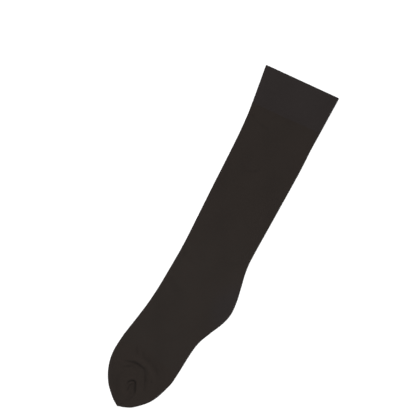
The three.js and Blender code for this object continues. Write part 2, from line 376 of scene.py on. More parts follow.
def loop_round():
    """Three arrays with a value for each point of a loop: its share of the flat stretch, the angle
    of its turn, and its place round the tube from 0 to 1. The underside runs from share 0 to 1 at
    -90 degrees, the back fold turns to +90, the top runs back, and the front fold closes it."""
    under = np.arange(UNDER_STEPS) / UNDER_STEPS
    fold = np.arange(FOLD_STEPS) / FOLD_STEPS
    top = np.arange(TOP_STEPS) / TOP_STEPS
    share = np.concatenate([under, np.ones(FOLD_STEPS), 1 - top, np.zeros(FOLD_STEPS)])
    angle = [np.full(UNDER_STEPS, -0.5), fold - 0.5, np.full(TOP_STEPS, 0.5), fold + 0.5]
    top_start = 1 + FOLD_LENGTH
    spread = [under, 1 + fold * FOLD_LENGTH, top_start + top, top_start + 1 + fold * FOLD_LENGTH]
    return share, np.concatenate(angle) * np.pi, np.concatenate(spread) / (2 * top_start)


loop_share, loop_angle, loop_spread = loop_round()
print(len(loop_share), "points round the tube")

# %% [markdown]
# The next function is the formula itself. The top panel carries the crown and all the folds. The
# underside is pressed on the floor, so there a fold only shows where it is a trough.

# %% The formula of the cloth
EDGE_FADE = 6
FLAT_SINE = 0.999  # past it a point lies on the upper or the lower panel
PRESSED_SHARE = 0.5  # of a trough's depth that shows in the underside
PRESSED_MOST = 0.6
# A ridge is painted lighter by this share of its height, as a painted highlight.
RIDGE_PAINTED_HIGHLIGHT = 0.4  # how much a ridge counts as a trough turned round


def cloth_points(place, wall, inset, share, angle):
    """Points of the cloth in millimetres, and the painted shade of each: how deep it lies in a trough,
    less a share of a ridge's height as a painted highlight. The turn is half the thickness less the
    inset. On top, the crown adds 1 - |2 share - 1|^4 of its height, and the folds fade in over the
    first millimetres from either side. Under it the same folds are pressed flat, so only their
    troughs and the grooves for the stitches rise from the floor, and that rise is painted shade too."""
    rows = smooth_rows(CUT, place)
    run_x = rows[..., 2] - rows[..., 0]
    run_y = rows[..., 3] - rows[..., 1]
    width = np.hypot(run_x, run_y)
    radius = wall + PANEL_GAP / 2
    turn = radius - inset
    flat = width - 2 * radius
    run = (radius + flat * share + turn * np.cos(angle)) / width
    x = rows[..., 0] + run_x * run
    y = rows[..., 1] + run_y * run
    edge = smoothstep(np.minimum(share, 1 - share) * flat, 0, EDGE_FADE)
    on_top = np.sin(angle) > FLAT_SINE
    below = np.sin(angle) < -FLAT_SINE
    crown = rows[..., CROWN] * (1 - np.abs(2 * share - 1) ** 4)
    folds = edge * fold_heights(x, y)
    grooves = edge * route_heights(UNDERSIDE_GROOVES, *np.broadcast_arrays(x, y))
    pressed = np.clip(grooves - PRESSED_SHARE * folds, 0, PRESSED_MOST)
    z = radius + turn * np.sin(angle) + on_top * (crown + folds) + below * pressed
    # Painted shade: a trough's depth darkens the colour, a ridge lightens it as a painted highlight,
    # and the underside's raised grooves darken it too.
    painted_shade_depth = on_top * np.where(folds < 0, -folds, -RIDGE_PAINTED_HIGHLIGHT * folds) + below * pressed
    return np.stack(np.broadcast_arrays(x, y, z), -1), painted_shade_depth


middle_wall = np.array(CUT[ROW["shin"], WALL])
middle_point, _ = cloth_points(np.array(ROW["shin"]), middle_wall, 0, 0.5, np.pi / 2)
print("the middle of the shin lies", round(float(middle_point[2]), 2), "mm above the floor")

# %% [markdown]
# A shell's stations start at the upper end of the outer wall, go down it, turn round the lower rim,
# come up the inner wall and turn round the upper rim. These helpers give the stations of a rim, and
# the two that hold a cut end.

# %% The stations of a rim
RIM_STEPS = 8
HOLD_MM = 0.04
ROW_STEP = 0.1


def wall_at(place):
    """The wall of the leg, the foot and the toe."""
    return smooth_rows(CUT[:, WALL:], place)[..., 0]


def rows_in(length, place):
    """The part of a row that a length in millimetres takes at a place."""
    low, high = max(place - ROW_STEP, 0), min(place + ROW_STEP, len(SECTIONS) - 1)
    return length * (high - low) / (length_at(high) - length_at(low))


def rim_stations(place, wall, outwards):
    """Stations round a rim, from the outer wall to the inner one. A rounded rim bulges by half the
    wall times the sine of its angle, down the leg where outwards is 1 and up it where it is -1.
    It is flat where outwards is 0."""
    turn = np.linspace(0, np.pi, RIM_STEPS + 1)[1:-1]
    return place + outwards * rows_in(wall / 2, place) * np.sin(turn), wall / 2 * (1 - np.cos(turn))


def hold_ends(places):
    """Adds a station a hair inside each end. A vertex has one normal for all its faces, so without
    these the turn to a cut end would shade the whole last strip of the cloth."""
    first, last = places[:1], places[-1:]
    after_first = first + rows_in(HOLD_MM, places[0])
    before_last = last - rows_in(HOLD_MM, places[-1])
    return np.concatenate([first, after_first, places[1:-1], before_last, last])


_, ball_rim = rim_stations(ROW["ball"], wall_at(np.array(ROW["ball"])), 0)
print("insets round the rim at the ball, in mm:", ball_rim.round(2))

# %% A piece from points and faces
def make_piece(name, points, faces, smooth, material):
    """A mesh object from points in the table's millimetres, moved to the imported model's frame."""
    placed = (points + np.append(SHIFT, 0)) * MM
    mesh = bpy.data.meshes.new(name)
    mesh.from_pydata(placed.tolist(), [], faces)
    mesh.polygons.foreach_set("use_smooth", smooth)
    mesh.materials.append(material)
    piece = bpy.data.objects.new(name, mesh)
    bpy.context.scene.collection.objects.link(piece)
    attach(piece, "root")
    return piece


print("pieces are moved by", SHIFT.round(2), "mm and scaled by", MM)

# %% [markdown]
# A shell is a grid of points with a quad in each cell of the grid. The welt's and the leg's grids
# close on themselves in both directions. The toe's ends in two fans instead, one outside at its
# point and one inside where the hollow ends. Each face corner also gets its stitch number round and
# along the tube as its UV, so that the knit follows the cloth, and each vertex keeps its painted
# shade: how deep it lies in a trough, and on a ridge a painted highlight.

# %% A shell from its stations
WALES_AROUND = 208
COURSE_MM = 0.68
print(WALES_AROUND, "stitches round,", COURSE_MM, "mm for each row of stitches")


def stitch_uv(places):
    """The stitch number along the tube at each station: its length from the mouth over the height
    of a course."""
    return length_at(places) / COURSE_MM


def end_fans(points, around, down):
    """Fans that close the first and the last loop of a grid of points, each round a new point in
    the middle of its loop. Gives the middles, the faces and the faces' UVs. A fan takes the
    stitch number along the tube from its loop."""
    rows, columns, _ = points.shape
    here = np.arange(columns)
    ahead = np.roll(here, -1)
    last_loop = (rows - 1) * columns
    middles = np.array([points[0].mean(0), points[-1].mean(0)])
    first_fan = np.stack([np.full(columns, rows * columns), ahead, here], 1)
    last_fan = np.stack([np.full(columns, rows * columns + 1), last_loop + here, last_loop + ahead], 1)
    fan_around = np.tile(np.repeat(around[:-1], 3), 2)
    fan_down = np.repeat([down[0], down[-1]], 3 * columns)
    return middles, first_fan.tolist() + last_fan.tolist(), np.stack([fan_around, fan_down], -1)


def shell(name, place, wall, inset, material, flat_rows=(), closed=True):
    """A shell from its stations. Quads join each station's loop to the next one's, and the last to
    the first if the shell is closed. Otherwise a fan closes each end loop. The faces after a
    station in flat_rows are shaded flat, as cut ends are."""
    points, painted_shade_depth = cloth_points(
        place[:, None], wall[:, None], inset[:, None], loop_share[None], loop_angle[None]
    )
    rows, columns = painted_shade_depth.shape
    count = rows if closed else rows - 1
    row, column = (a.ravel() for a in np.meshgrid(np.arange(count), np.arange(columns), indexing="ij"))
    corner_rows = np.stack([row, row, row + 1, row + 1], 1) % rows
    corner_columns = np.stack([column, column + 1, column + 1, column], 1)
    quads = corner_rows * columns + corner_columns % columns
    around = np.append(loop_spread, 1) * WALES_AROUND
    down = stitch_uv(place)
    uv = np.stack([around[corner_columns], down[corner_rows]], -1).reshape(-1, 2)
    vertices = points.reshape(-1, 3)
    painted_shade_depth = painted_shade_depth.ravel()
    faces = quads.tolist()
    if not closed:
        middles, fan_faces, fan_uv = end_fans(points, around, down)
        faces += fan_faces
        uv = np.concatenate([uv, fan_uv])
        vertices = np.concatenate([vertices, middles])
        painted_shade_depth = np.append(painted_shade_depth, [0, 0])
    smooth = np.ones(len(faces), bool)
    smooth[:len(quads)] = ~np.isin(row, flat_rows)
    piece = make_piece(name, vertices, faces, smooth, material)
    mesh = piece.data
    mesh.uv_layers.new(name="Knit").uv.foreach_set("vector", uv.astype(np.float32).ravel())
    # The painted shade of the folds, kept at each vertex for the material.
    mesh.attributes.new("trough", "FLOAT", "POINT").data.foreach_set("value", painted_shade_depth.astype(np.float32))
    print(name, len(vertices), "vertices", len(faces), "faces")
    return piece


# %% [markdown]
# ## The knit
#
# Plain knit shows columns of small V shapes, the wales. A stitch here is under a millimetre wide,
# so a million of them would be needed as geometry, and a bump that is worked out from the stitch
# numbers is the better way. A material is a graph of nodes, and with these three helpers a formula
# in nodes reads almost like a formula in code.

# %% Helpers for the nodes
def node(tree, kind, inputs=None, **settings):
    """Adds a node. settings are its properties. inputs gives, for a socket's name or number, a
    value or another node's output to link from."""
    made = tree.nodes.new(kind)
    for name, value in settings.items():
        setattr(made, name, value)
    for key, value in (inputs or {}).items():
        if isinstance(value, bpy.types.NodeSocket):
            tree.links.new(value, made.inputs[key])
        else:
            made.inputs[key].default_value = value
    return made


def math_node(tree, operation, *values):
    """The output of a Math node on up to three values or sockets."""
    return node(tree, "ShaderNodeMath", dict(enumerate(values)), operation=operation).outputs[0]


def mix_colours(tree, factor, first, second, blend="MIX"):
    """The output of a colour Mix node."""
    mixer = node(
        tree, "ShaderNodeMix", {0: factor, 6: first, 7: second}, data_type="RGBA", blend_type=blend
    )
    return mixer.outputs[2]


print("node helpers:", node.__name__, math_node.__name__, mix_colours.__name__)

# %% [markdown]
# All three cloths share one node group for the stitches. The strands of a V lean away from the
# middle of the wale, so the phase of the strand pattern is the course number plus a lean times the
# distance from that middle.

# %% A node group for the stitches
V_START = 0.15  # of half a turn, at the middle of the wale
STRAND_RELIEF = 0.65
FIBRE_SCALE = 5.0
STREAK_SCALE = (0.012, 0.55, 1)  # long round the tube, short along it
LEAN = 0.55
FIBRE = 0.12


def knit_group():
    """Knit stitches from stitch numbers. With w the wale number and c the course number, m is twice
    the distance of w from the middle of its wale, the strand is half of 1 - cos of a full turn of
    c + lean m, and the leg of the V is the sine of half a turn of s + (1 - s) m, where s is
    V_START. The height is the leg times 1 - r + r strand, where r is STRAND_RELIEF, with a little
    fibre noise."""
    tree = bpy.data.node_groups.new("knit stitches", "ShaderNodeTree")
    stitch_in = tree.interface.new_socket("Stitch", in_out="INPUT", socket_type="NodeSocketVector")
    lean_in = tree.interface.new_socket("Lean", in_out="INPUT", socket_type="NodeSocketFloat")
    fibre_in = tree.interface.new_socket("Fibre", in_out="INPUT", socket_type="NodeSocketFloat")
    tree.interface.new_socket("Height", in_out="OUTPUT", socket_type="NodeSocketFloat")
    tree.interface.new_socket("Streaks", in_out="OUTPUT", socket_type="NodeSocketFloat")
    stitch_in.description = "wale number, course number, 0"
    lean_in.default_value = LEAN
    fibre_in.default_value = FIBRE
    given = node(tree, "NodeGroupInput")
    parts = node(tree, "ShaderNodeSeparateXYZ", {0: given.outputs["Stitch"]})
    wale, course = parts.outputs[0], parts.outputs[1]
    centred = math_node(tree, "SUBTRACT", math_node(tree, "FRACT", wale), 0.5)
    off_middle = math_node(tree, "MULTIPLY", math_node(tree, "ABSOLUTE", centred), 2.0)
    phase = math_node(tree, "MULTIPLY_ADD", off_middle, given.outputs["Lean"], course)
    turned = math_node(tree, "COSINE", math_node(tree, "MULTIPLY", phase, 2 * math.pi))
    strand = math_node(tree, "MULTIPLY_ADD", turned, -0.5, 0.5)
    leg_turn = math_node(
        tree, "MULTIPLY_ADD", off_middle, (1 - V_START) * math.pi, V_START * math.pi
    )
    leg = math_node(tree, "SINE", leg_turn)
    relief = math_node(tree, "MULTIPLY_ADD", strand, STRAND_RELIEF, 1 - STRAND_RELIEF)
    stitch = math_node(tree, "MULTIPLY", leg, relief)
    fibre_inputs = {"Vector": given.outputs["Stitch"], "Scale": FIBRE_SCALE, "Detail": 2.0}
    fibre = node(tree, "ShaderNodeTexNoise", fibre_inputs)
    fuzz = math_node(tree, "MULTIPLY_ADD", fibre.outputs[0], given.outputs["Fibre"], stitch)
    stretched_inputs = {0: given.outputs["Stitch"], 1: STREAK_SCALE}
    stretched = node(tree, "ShaderNodeVectorMath", stretched_inputs, operation="MULTIPLY")
    streak_inputs = {"Vector": stretched.outputs[0], "Scale": 1.0, "Detail": 2.0}
    streaks = node(tree, "ShaderNodeTexNoise", streak_inputs)
    result = node(tree, "NodeGroupOutput")
    tree.links.new(fuzz, result.inputs["Height"])
    tree.links.new(streaks.outputs[0], result.inputs["Streaks"])
    return tree


KNIT = knit_group()
print("node group:", KNIT.name, "with", [socket.name for socket in KNIT.interface.items_tree])

# %% [markdown]
# ## The colours
#
# The yarn is a very dark brown. The double welt looks a little cooler than the leg, and the foot
# and the toe a little lighter. The denser heel is the lightest and cooler again. The colours are
# linear, as Blender takes them. The short loop prints some of them as a screen shows them, by the
# curve 1.055 c^(1/2.4) - 0.055.

# %% The colours and the finish
LEG_COLOUR = (0.0187, 0.0142, 0.0118, 1)
FOOT_COLOUR = (0.0202, 0.0158, 0.0133, 1)
HEEL_COLOUR = (0.0206, 0.0168, 0.0159, 1)
WELT_COLOUR = (0.0193, 0.0155, 0.0147, 1)
TOE_COLOUR = (0.0197, 0.0149, 0.0123, 1)
for name, colour in [("leg", LEG_COLOUR), ("heel", HEEL_COLOUR), ("welt", WELT_COLOUR)]:
    shown = 1.055 * np.array(colour[:3]) ** (1 / 2.4) - 0.055
    print("the", name, "on a screen:", (255 * shown).round())


def matt(shader):
    """The finish that the cloths and the yarns share: rough, with hardly any gloss or sheen."""
    shader.inputs["Roughness"].default_value = 0.9
    shader.inputs["Specular IOR Level"].default_value = 0.12
    shader.inputs["Sheen Weight"].default_value = 0.02
    shader.inputs["Sheen Roughness"].default_value = 0.5


def shaded(tree, value, weight):
    """A factor for the colour, 1 - weight/2 + weight times value."""
    return math_node(tree, "MULTIPLY_ADD", value, weight, 1 - weight / 2)


# %% [markdown]
# An image could hold the colours, but soft masks, stored as a value at each vertex, blend one
# colour into the next with no file. Troughs are painted darker than their depth alone would make
# them, as painted shade for the light that close folds of dark cloth swallow, and ridges get a
# little painted highlight. The colour is also painted darker between the strands of each stitch,
# as painted shade. Faint clouds and streaks keep the large plain parts from looking painted.

# %% One material for each cloth
# Painted shade: how much darker a trough is painted for each millimetre of its depth.
TROUGH_PAINTED_SHADE = 0.62
STREAK_SHADE = 0.06
CLOUD_SHADE = 0.05
# Painted shade: how much darker the colour is painted between the strands of a stitch.
STITCH_PAINTED_SHADE = 0.5
STITCH_DEPTH = 0.2 * MM
CLOUD_SIZE = 35 * MM
DARKEST = 0.25


def cloth_material(name, colours, lean):
    """A knit in the first of colours, with each further one mixed in by the vertex mask of its
    name. The base colour carries painted shade between the strands and in troughs and a painted
    highlight on ridges, and it is darkened along faint streaks that run round the tube, as rows of
    slightly tighter stitches do."""
    material = bpy.data.materials.new(name)
    material.use_nodes = True
    tree = material.node_tree
    shader = tree.nodes["Principled BSDF"]
    stitch = node(tree, "ShaderNodeUVMap", uv_map="Knit").outputs[0]
    knit = node(tree, "ShaderNodeGroup", node_tree=KNIT)
    tree.links.new(stitch, knit.inputs["Stitch"])
    knit.inputs["Lean"].default_value = lean
    (_, colour), *masked = colours
    for mask, further in masked:
        share = node(tree, "ShaderNodeAttribute", attribute_name=mask).outputs["Fac"]
        colour = mix_colours(tree, share, colour, further)
    place = node(tree, "ShaderNodeTexCoord").outputs["Object"]
    cloud_inputs = {"Vector": place, "Scale": 1 / CLOUD_SIZE, "Detail": 3.0}
    cloud = node(tree, "ShaderNodeTexNoise", cloud_inputs)
    trough = node(tree, "ShaderNodeAttribute", attribute_name="trough").outputs["Fac"]
    # Painted shade in troughs and a painted highlight on ridges.
    painted_fold_shade = math_node(tree, "MULTIPLY_ADD", trough, -TROUGH_PAINTED_SHADE, 1.0)
    streaked = shaded(tree, knit.outputs["Streaks"], STREAK_SHADE)
    clouded = shaded(tree, cloud.outputs[0], CLOUD_SHADE)
    # Painted shade between the strands, from the same stitch height as the bump.
    painted_stitch_shade = shaded(tree, knit.outputs["Height"], STITCH_PAINTED_SHADE)
    painted_fold_shade_and_streaks = math_node(tree, "MULTIPLY", painted_fold_shade, streaked)
    clouds_and_painted_stitch_shade = math_node(tree, "MULTIPLY", clouded, painted_stitch_shade)
    shade = math_node(tree, "MULTIPLY", painted_fold_shade_and_streaks, clouds_and_painted_stitch_shade)
    tone = math_node(tree, "MAXIMUM", shade, DARKEST)
    tree.links.new(mix_colours(tree, 1.0, colour, tone, "MULTIPLY"), shader.inputs["Base Color"])
    bump_inputs = {"Height": knit.outputs["Height"], "Distance": STITCH_DEPTH, "Strength": 1.0}
    bump = node(tree, "ShaderNodeBump", bump_inputs)
    tree.links.new(bump.outputs[0], shader.inputs["Normal"])
    matt(shader)
    return material


leg_colours = [("", LEG_COLOUR), ("foot", FOOT_COLOUR), ("heel", HEEL_COLOUR)]
leg_knit = cloth_material("leg knit", leg_colours, lean=LEAN)
toe_knit = cloth_material("toe knit", [("", TOE_COLOUR), ("foot", FOOT_COLOUR)], lean=0.5)
welt_knit = cloth_material("welt knit", [("", WELT_COLOUR)], lean=0.6)
print("materials:", [m.name for m in (leg_knit, toe_knit, welt_knit)])

# %% [markdown]
# ## The welt
#
# A knitted welt is folded to the inside and closed at its lower edge, so its upper rim is a fold,
# which is round, and its lower rim thins out over the last millimetres. Both are stations with a
# wall of their own.

# %% The welt's shell
WELT_TAPER = 7.0
WELT_STEP = 1.3
JOIN_DEPTH = 0.02
JOIN_WIDTH = 0.7
INNER_STEP = 7.0


def tube_stations(start, end, step, wall_of, rounded_start, rounded_end):
    """Stations of a tube that is open at both ends: down the outer wall, round the lower rim, up
    the inner wall and round the upper rim. A rounded rim starts half a wall before its end."""
    start_wall, end_wall = wall_of(np.array([start, end]))
    top = start + rounded_start * rows_in(start_wall / 2, start)
    low = end - rounded_end * rows_in(end_wall / 2, end)
    outer = hold_ends(places_every(step, top, low))
    inner = hold_ends(places_every(INNER_STEP, top, low))[::-1]
    low_rim, low_inset = rim_stations(low, end_wall, 1 if rounded_end else 0)
    top_rim, top_inset = rim_stations(top, start_wall, -1 if rounded_start else 0)
    low_wall, top_wall = np.full(len(low_rim), end_wall), np.full(len(top_rim), start_wall)
    place = np.concatenate([outer, low_rim, inner, top_rim[::-1]])
    wall = np.concatenate([wall_of(outer), low_wall, wall_of(inner), top_wall])
    inset = np.concatenate([0 * outer, low_inset, wall_of(inner), top_inset[::-1]])
    low_rows = np.arange(len(outer) - 1, len(outer) + RIM_STEPS - 1)
    top_rows = np.arange(len(place) - RIM_STEPS, len(place))
    flat_rows = np.concatenate([low_rows * (not rounded_end), top_rows * (not rounded_start)])
    return place, wall, inset, flat_rows[flat_rows > 0]


def join_inset(place, inset, wall):
    """How far the outer wall is drawn in at the welt's foot: a narrow bell over the length to it,
    and nothing on the inner wall."""
    gap = length_at(place) - length_at(ROW["welt foot"])
    return JOIN_DEPTH * np.exp(-((gap / JOIN_WIDTH) ** 2)) * (1 - inset / wall)


def welt_wall(place):
    """The welt's wall, which thins to its lower edge over the taper's length."""
    left = length_at(ROW["welt foot"]) - length_at(place)
    return WELT_EDGE_WALL + (WELT_WALL - WELT_EDGE_WALL) * smoothstep(left, 0, WELT_TAPER)


place, wall, inset, flat_rows = tube_stations(
    ROW["mouth"], ROW["welt foot"], WELT_STEP, welt_wall, True, False
)
inset += join_inset(place, inset, wall)
welt = shell("welt_cloth", place, wall, inset, welt_knit, flat_rows)
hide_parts("welt")

# %% [markdown]
# ## The leg and the foot
#
# One shell runs from under the welt to the ball of the foot. The heel is a pocket of denser knit:
# its mask is 1 at the heel's point and falls off towards the gore line, and the foot's mask rises
# from the ankle down.

# %% The leg's shell
LEG_STEP = 1.7
HEEL_POINT = (50, -296)
HEEL_REACH = (12, 36)
HEEL_SQUASH = 0.8  # the heel's tint is longer down the leg than across it
FOOT_START = (-150, -270)


def set_mask(piece, name, values):
    """Stores a value from 0 to 1 for each vertex, which the cloth's material reads by its name."""
    layer = piece.data.attributes.new(name, "FLOAT", "POINT")
    layer.data.foreach_set("value", np.asarray(values, np.float32))


def table_points(piece):
    """A piece's vertices in the table's millimetres."""
    flat = np.empty(3 * len(piece.data.vertices))
    piece.data.vertices.foreach_get("co", flat)
    return flat.reshape(-1, 3) / MM - np.append(SHIFT, 0)


place, wall, inset, flat_rows = tube_stations(
    ROW["welt foot"], ROW["ball"], LEG_STEP, wall_at, False, False
)
inset += join_inset(place, inset, wall)
leg = shell("leg_cloth", place, wall, inset, leg_knit, flat_rows)
leg_points = table_points(leg)
set_mask(leg, "foot", smoothstep(-leg_points[:, 1], -FOOT_START[0], -FOOT_START[1]))
heel_across = leg_points[:, 0] - HEEL_POINT[0]
heel_down = HEEL_SQUASH * (leg_points[:, 1] - HEEL_POINT[1])
set_mask(leg, "heel", 1 - smoothstep(np.hypot(heel_across, heel_down), *HEEL_REACH))
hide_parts("leg_and_foot")

# %% [markdown]
# ## The toe
#
# The toe starts at the leg's last loop, with the same points, so no line shows where the two meet,
# as on the real stocking, where the denser knit just begins. It ends at the seam's outer end in a
# small rounded point: four last rings, each drawn in by an inset, at a distance from the start of
# the point, both in millimetres.

# %% The toe's shell
TOE_STEP = 0.75
INNER_TOE_STEP = 3.0
POINT_INSETS = np.array([0.12, 0.4, 0.8, 1.15])
POINT_RUN = np.array([0.35, 0.6, 0.8, 0.9])
HOLLOW_END = ROW["toe end"]
TOE_TONE = (-378, -398)

last = len(SECTIONS) - 1
ball_wall = wall_at(np.array(ROW["ball"]))
point_start = last - rows_in(POINT_RUN[-1], last)
outer = hold_ends(places_every(TOE_STEP, ROW["ball"], point_start))
inner = hold_ends(places_every(INNER_TOE_STEP, ROW["ball"], HOLLOW_END))[::-1]
rim, rim_inset = rim_stations(ROW["ball"], ball_wall, 0)
point = point_start + rows_in(1, last) * POINT_RUN
place = np.concatenate([inner, rim[::-1], outer, point])
wall = wall_at(place)
inset = np.concatenate([wall_at(inner), rim_inset[::-1], 0 * outer, POINT_INSETS])
rim_rows = np.arange(len(inner) - 1, len(inner) + RIM_STEPS - 1)
toe = shell("toe_cloth", place, wall, inset, toe_knit, rim_rows, closed=False)
toe_points = table_points(toe)
set_mask(toe, "foot", 1 - smoothstep(-toe_points[:, 1], -TOE_TONE[0], -TOE_TONE[1]))
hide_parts("toe")

# %% [markdown]
# ## Stitches
#
# Three rows of stitches are real geometry, as they stand on the cloth: the loops that join the
# welt's lower edge, the linking stitches over the closing seam, and the marks along the heel's
# gore. A thread's path is given in places down the leg and shares round the tube, so the same
# formula as the cloth's own puts it on the cloth. The thread is lifted by a negative inset.

# %% Places on the cloth
FAR = 1000


def on_cloth(x, y):
    """The place and the share of points in the plan. Of many chords from the front fold to the
    back fold, the nearest to a point gives its place, and the point's way along it the share."""
    run = fine_rows[:, BACK] - fine_rows[:, FRONT]
    width = np.hypot(*run.T)
    to_x = x[..., None] - fine_rows[:, 0]
    to_y = y[..., None] - fine_rows[:, 1]
    off_chord = np.abs(to_x * run[:, 1] - to_y * run[:, 0]) / width
    along = (to_x * run[:, 0] + to_y * run[:, 1]) / width
    off_chord += FAR * ((along < 0) | (along > width))
    nearest = off_chord.argmin(-1)
    place = fine_places[nearest]
    radius = wall_at(place) + PANEL_GAP / 2
    way = np.take_along_axis(along, nearest[..., None], -1)[..., 0]
    return place, (way - radius) / (width[nearest] - 2 * radius)


def round_tube(turn):
    """The share and the angle at a turn round the tube, counted as the cloth's loops are."""
    turn = turn % 1
    ends = np.append(loop_spread, 1)
    share = np.interp(turn, ends, np.append(loop_share, 0))
    angle = np.interp(turn, ends, np.append(loop_angle, 1.5 * np.pi))
    return share, angle


shin_place, shin_share = on_cloth(np.array(0.0), np.array(-165.0))
print("165 mm under the mouth is place", shin_place.round(2), "share", shin_share.round(2))

# %% [markdown]
# A thread is a tube of six sides that thins at its ends. A curve with a bevel would give such a
# tube too, but hundreds of them are laid here at once, as one array. A stitch rises from the cloth
# and dives into it again, as yarn does, so its ends are sunk.

# %% From a path to a thread
THREAD_SIDES = 6
THREAD_STEPS = 7
THREAD_END = 0.35  # of the radius, at a thread's ends
THREAD_CAP = 0.3  # of the radius that an end's tip stands out
STITCH_SINK = 0.3  # of its lift that a stitch's ends are sunk
print("a thread has", THREAD_SIDES, "sides and", THREAD_STEPS, "rings")


def threads(name, paths, radius, material):
    """Round threads along an array of paths, stitch by point by xyz, in the table's millimetres.
    Each ring is the path's point plus radius times cos and sin of its angle along the two
    directions that are square to the path. The radius shrinks to the ends as the root of
    1 - (2t - 1)^6, and a fan closes each end."""
    count, steps, _ = paths.shape
    ahead = np.gradient(paths, axis=1)
    ahead /= np.linalg.norm(ahead, axis=-1, keepdims=True)
    aside = np.cross((0, 0, 1), ahead)
    aside /= np.linalg.norm(aside, axis=-1, keepdims=True)
    above = np.cross(ahead, aside)
    angle = np.arange(THREAD_SIDES) / THREAD_SIDES * 2 * np.pi
    t = np.linspace(0, 1, steps)
    thin = radius * np.maximum(np.sqrt(1 - (2 * t - 1) ** 6), THREAD_END)[:, None, None]
    cosine, sine = np.cos(angle)[:, None], np.sin(angle)[:, None]
    rings = paths[:, :, None] + thin * (cosine * aside[:, :, None] + sine * above[:, :, None])
    caps = np.array([-THREAD_CAP, THREAD_CAP])[:, None]
    ends = paths[:, [0, -1]] + ahead[:, [0, -1]] * caps * radius
    each = steps * THREAD_SIDES + 2
    points = np.concatenate([rings.reshape(count, -1, 3), ends], 1)
    points[..., 2] = np.maximum(points[..., 2], 0)
    side = np.arange(THREAD_SIDES)
    after = np.roll(side, -1)
    level = np.arange(steps - 1)[:, None] * THREAD_SIDES
    above_level = level + THREAD_SIDES
    quads = np.stack([level + side, level + after, above_level + after, above_level + side], -1)
    last_ring = (steps - 1) * THREAD_SIDES
    first_fan = np.stack([after, side, np.full(THREAD_SIDES, each - 2)], 1)
    last_fan = np.stack([last_ring + side, last_ring + after, np.full(THREAD_SIDES, each - 1)], 1)
    starts = (np.arange(count) * each)[:, None, None]
    faces = (quads.reshape(1, -1, 4) + starts).reshape(-1, 4).tolist()
    for fan in (first_fan, last_fan):
        faces += (fan[None] + starts).reshape(-1, 3).tolist()
    piece = make_piece(name, points.reshape(-1, 3), faces, np.ones(len(faces), bool), material)
    print(name, count, "stitches", len(faces), "faces")
    return piece


def stitch_paths(place, share, angle, lift):
    """Paths on the cloth, lifted in the middle by a half sine, and sunk a little at both ends."""
    t = np.linspace(0, 1, place.shape[-1])
    height = lift * (np.sin(np.pi * t) * (1 + STITCH_SINK) - STITCH_SINK)
    points, _ = cloth_points(place, wall_at(place), -height, share, angle)
    return points


# %% [markdown]
# Where the double welt ends, its turned-in edge is caught with one loop of yarn on each wale of the
# tube. A dashed line in the material would do from afar, but close up each loop stands on the cloth
# and crosses the join at a slant, so it is a short thread of its own.

# %% The loops at the welt's foot
WELT_LOOP_REACH = 0.6
WELT_LOOP_LEAN = 0.4
WELT_LOOP_LIFT = 0.05
WELT_THREAD = 0.11
# Half again as light as the welt's cloth: painted light that offsets the shade round the loops.
WELT_YARN_PAINTED_LIGHT_COLOUR = (0.029, 0.0233, 0.0218, 1)
YARN_NOISE = 4 / MM
YARN_SHADE = 0.5
YARN_DEPTH = 0.05 * MM


def thread_material(name, colour):
    """A matt yarn, with its fibres as a fine noise in the colour and the bump."""
    material = bpy.data.materials.new(name)
    material.use_nodes = True
    tree = material.node_tree
    shader = tree.nodes["Principled BSDF"]
    place = node(tree, "ShaderNodeTexCoord").outputs["Object"]
    fibres = node(tree, "ShaderNodeTexNoise", {"Vector": place, "Scale": YARN_NOISE, "Detail": 2.0})
    shade = shaded(tree, fibres.outputs[0], YARN_SHADE)
    tree.links.new(mix_colours(tree, 1.0, colour, shade, "MULTIPLY"), shader.inputs["Base Color"])
    bump = node(tree, "ShaderNodeBump", {"Height": fibres.outputs[0], "Distance": YARN_DEPTH})
    tree.links.new(bump.outputs[0], shader.inputs["Normal"])
    matt(shader)
    return material


t = np.linspace(0, 1, THREAD_STEPS)
loop_number = np.arange(WALES_AROUND)[:, None]
loop_turn = (loop_number + 0.5 + WELT_LOOP_LEAN * (t - 0.5)) / WALES_AROUND
loop_run = rows_in(WELT_LOOP_REACH, ROW["welt foot"]) * (2 * t - 1)
loop_place = ROW["welt foot"] + loop_run + 0 * loop_turn
welt_loops = threads(
    "welt_loops",
    stitch_paths(loop_place, *round_tube(loop_turn), WELT_LOOP_LIFT),
    WELT_THREAD,
    thread_material("welt yarn", WELT_YARN_PAINTED_LIGHT_COLOUR),
)

# %% [markdown]
# The toe is closed by a row of linking stitches that run over the seam's edge, and along the heel's
# gore the knitting machine leaves a row of short marks where it narrows the pocket. Both are rows
# of slanted stitches along a route in the plan, so one function lays both. Each stitch is made on
# the upper panel and again on the lower one, where the grooves leave it room.

# %% The stitches of the closing seam and the marks of the gore
SEAM_STITCH = (1.55, 1.6, 0.18, 0.15)  # spacing, half length, thread radius, lift
GORE_STITCH = (2.3, 0.75, 0.2, 0.05)
GORE_ROUTE = np.array([(6, -328), (16, -322.5), (29, -313.5), (42, -303.5)])
STITCH_SLANT = 0.35
LINE_SAMPLES = 200


